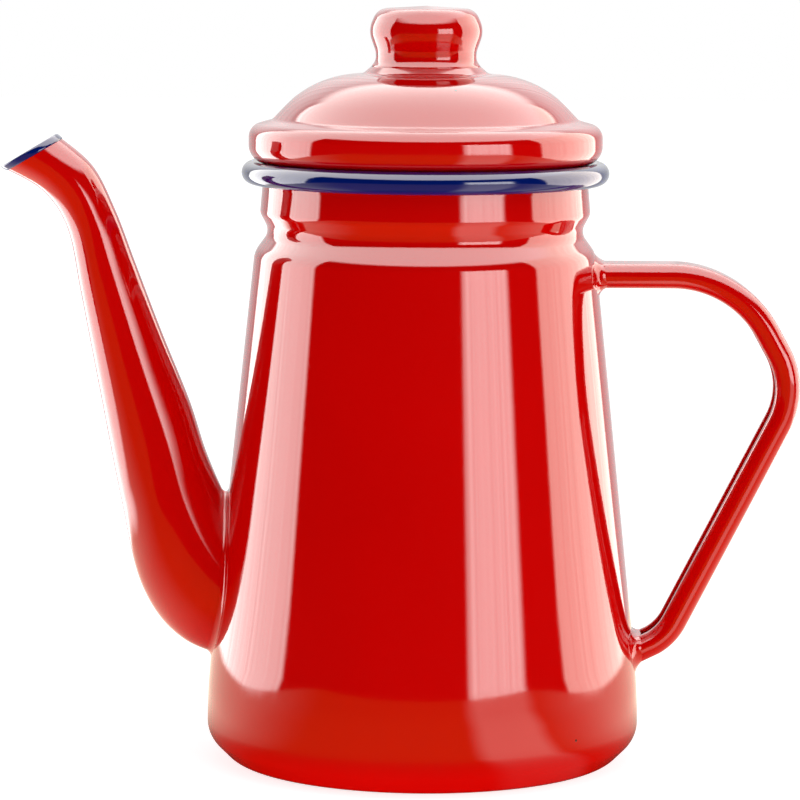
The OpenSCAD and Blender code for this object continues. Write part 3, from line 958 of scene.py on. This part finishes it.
def makeWorld(s):
    world = bpy.data.worlds.new("studio")
    scene.world = world
    world.use_nodes = True
    world.cycles.sampling_method = "NONE"
    tree = world.node_tree
    direction = tree.nodes.new("ShaderNodeTexCoord").outputs["Generated"]
    room = addNode(tree, "ShaderNodeGroup", node_tree=mirroredRoom)
    tree.links.new(direction, room.inputs[0])
    soft = s["ambient"]
    for side, strength in ((s["stripSide"], s["fromStrip"]), ((0, 0, 1), s["fromAbove"])):
        towards = addNode(tree, "ShaderNodeVectorMath", {0: direction, 1: side},
                          operation="DOT_PRODUCT")
        part = mathNode(tree, "MAXIMUM", towards.outputs["Value"], 0.0)
        soft = mathNode(tree, "MULTIPLY_ADD", mathNode(tree, "MULTIPLY", part, part), strength, soft)
    rays = tree.nodes.new("ShaderNodeLightPath").outputs
    dull = addNode(tree, "ShaderNodeMix", {0: rays["Is Diffuse Ray"], 6: room.outputs[0], 7: soft},
                   data_type="RGBA")
    seen = addNode(tree, "ShaderNodeMix", {
        0: rays["Is Camera Ray"], 6: dull.outputs[2], 7: (1, 1, 1, 1)}, data_type="RGBA")
    tree.links.new(seen.outputs[2], tree.nodes["Background"].inputs["Color"])
    tree.nodes["Background"].inputs["Strength"].default_value = s["backdrop"]


def makeFloor(s):
    half = s["floorSize"] / 2
    mesh = bpy.data.meshes.new("floor")
    corners = [(-half, -half, 0), (half, -half, 0), (half, half, 0), (-half, half, 0)]
    mesh.from_pydata(corners, [], [(0, 1, 2, 3)])
    material = bpy.data.materials.new("whiteTable")
    material.use_nodes = True
    material.cycles.emission_sampling = "NONE"
    tree = material.node_tree
    shader = tree.nodes["Principled BSDF"]
    grain = addNode(tree, "ShaderNodeTexNoise", {"Scale": 3})
    tint = addNode(tree, "ShaderNodeMapRange", {
        "Value": grain.outputs[0], "To Min": 0.58, "To Max": 0.62})
    tree.links.new(tint.outputs[0], shader.inputs["Base Color"])
    shader.inputs["Roughness"].default_value = 1.0
    shader.inputs["Specular IOR Level"].default_value = 0.0
    shader.inputs["Emission Color"].default_value = (1, 1, 1, 1)
    rays = tree.nodes.new("ShaderNodeLightPath").outputs
    shine = addNode(tree, "ShaderNodeMix", {
        0: rays["Is Camera Ray"], 2: s["tableBounce"], 3: s["tableGlow"]})
    tree.links.new(shine.outputs[0], shader.inputs["Emission Strength"])
    place = tree.nodes.new("ShaderNodeNewGeometry").outputs["Position"]
    room = addNode(tree, "ShaderNodeGroup", node_tree=mirroredRoom)
    tree.links.new(place, room.inputs[0])
    x, y, z = addNode(tree, "ShaderNodeSeparateXYZ", {0: place}).outputs
    azimuth = azimuthOf(tree, x, y)
    aside = softStep(tree, mathNode(tree, "ABSOLUTE", azimuth), s["sideStart"], s["sideFull"])
    fromStrip = mathNode(tree, "ABSOLUTE", mathNode(tree, "SUBTRACT", azimuth, s["stripAt"]))
    besideStrip = softStep(tree, fromStrip, s["stripInner"], s["stripOuter"])
    underStrip = mathNode(tree, "SUBTRACT", 1.0, besideStrip)
    near = addNode(tree, "ShaderNodeMix", {0: aside, 6: s["tableFront"], 7: s["tableSide"]},
                   data_type="RGBA").outputs[2]
    near = addNode(tree, "ShaderNodeMix", {0: underStrip, 6: near, 7: s["tableStrip"]},
                   data_type="RGBA").outputs[2]
    away = addNode(tree, "ShaderNodeVectorMath", {0: place}, operation="LENGTH").outputs["Value"]
    shade = softStep(tree, away, s["shadeInner"], s["shadeOuter"])
    # the table is deep in front of the pot and short at its sides, and a little darker far out
    away = mathNode(tree, "MULTIPLY", away, mathNode(tree, "MULTIPLY_ADD", aside, s["sideShort"], 1.0))
    dusk = addNode(tree, "ShaderNodeMapRange", {
        "Value": away, "From Min": s["duskStart"], "From Max": s["duskEnd"],
        "To Min": 1, "To Max": s["duskLeft"]}).outputs[0]
    dimmed = mathNode(tree, "MULTIPLY", shade, dusk)
    near = addNode(tree, "ShaderNodeVectorMath", {0: near, "Scale": dimmed},
                   operation="SCALE").outputs[0]
    past = softStep(tree, away, s["tableRadius"] * 0.9, s["tableRadius"] * 1.1)
    lit = addNode(tree, "ShaderNodeMix", {0: past, 6: near, 7: room.outputs[0]},
                  data_type="RGBA").outputs[2]
    table = addNode(tree, "ShaderNodeEmission", {"Color": lit})
    mixed = addNode(tree, "ShaderNodeMixShader", {
        0: rays["Is Glossy Ray"], 1: shader.outputs[0], 2: table.outputs[0]})
    tree.links.new(mixed.outputs[0], tree.nodes["Material Output"].inputs["Surface"])
    mesh.materials.append(material)
    floor = newPiece("floor", mesh)
    floor.location.z = -0.02 * mm


makeWorld(studio)
makeFloor(studio)
print("studio lit")
